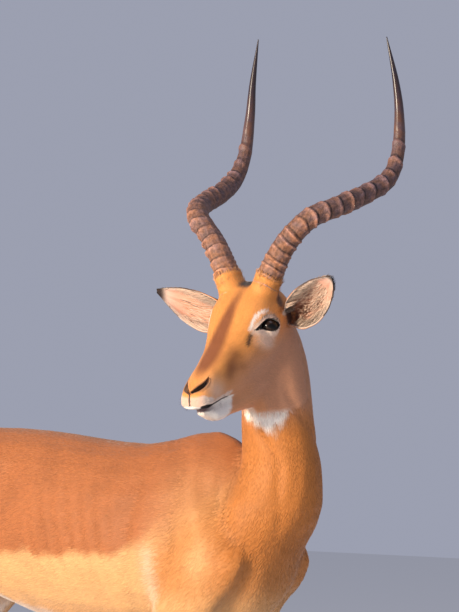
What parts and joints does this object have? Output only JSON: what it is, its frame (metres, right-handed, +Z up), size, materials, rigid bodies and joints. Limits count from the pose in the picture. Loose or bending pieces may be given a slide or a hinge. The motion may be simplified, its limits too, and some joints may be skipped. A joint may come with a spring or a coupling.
{
  "type": "impala antelope",
  "caption": "Life-size standing impala ram with lyre-shaped ringed horns, head turned to its right, body parted into named solids.",
  "frame": {"origin": "on the floor, under the middle of the whole animal's box", "axes": "+Z up, the body faces +X, its left side is +Y, the head looks towards -Y"},
  "size_m": [1.1156, 0.3949, 1.5482],
  "materials": {
    "coat_rufous": "short flat hair, matt",
    "coat_tan": "short flat hair, matt",
    "horn": "ringed horn, dull below and polished at the tips",
    "hoof": "worn black horn",
    "eye": "wet and glossy"
  },
  "bodies": {
    "root": {"head": "coat_tan", "neck": "coat_tan", "trunk": "coat_rufous", "tail": "coat_rufous", "ear_left": "coat_tan", "ear_right": "coat_tan", "eye_left": "eye", "eye_right": "eye", "horn_left": "horn", "horn_right": "horn", "leg_front_left": "coat_tan", "hoof_front_left_inner": "hoof", "hoof_front_left_outer": "hoof", "leg_front_right": "coat_tan", "hoof_front_right_inner": "hoof", "hoof_front_right_outer": "hoof", "leg_hind_left": "coat_tan", "hoof_hind_left_inner": "hoof", "hoof_hind_left_outer": "hoof", "leg_hind_right": "coat_tan", "hoof_hind_right_inner": "hoof", "hoof_hind_right_outer": "hoof"}
  },
  "joints": []
}
